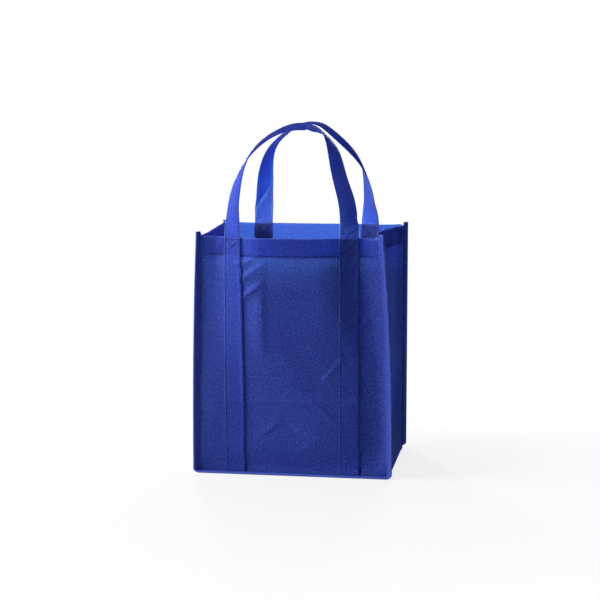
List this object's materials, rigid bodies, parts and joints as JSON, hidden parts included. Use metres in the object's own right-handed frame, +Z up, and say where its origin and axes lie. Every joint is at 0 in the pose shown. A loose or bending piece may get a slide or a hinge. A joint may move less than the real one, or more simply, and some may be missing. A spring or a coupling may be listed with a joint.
{
  "type": "shopping bag",
  "caption": "Upright open-topped non-woven cloth tote with bound edges, side gussets, a hemmed rim and flat strap handles that loop over its mouth, for carrying groceries.",
  "frame": {"origin": "middle of the base's underside, on the floor", "axes": "+Z up, -Y out of the front panel, +X to the right of someone facing the front"},
  "size_m": [0.3202, 0.2819, 0.5572],
  "materials": {
    "cloth": "royal blue embossed non-woven",
    "binding": "royal blue non-woven tape",
    "strap": "royal blue folded non-woven",
    "board": "matt black"
  },
  "bodies": {
    "root": {"front_panel": "cloth", "back_panel": "cloth", "gusset": "cloth", "front_binding": "binding", "back_binding": "binding", "front_handle": "strap", "back_handle": "strap", "base_board": "board"}
  },
  "joints": []
}
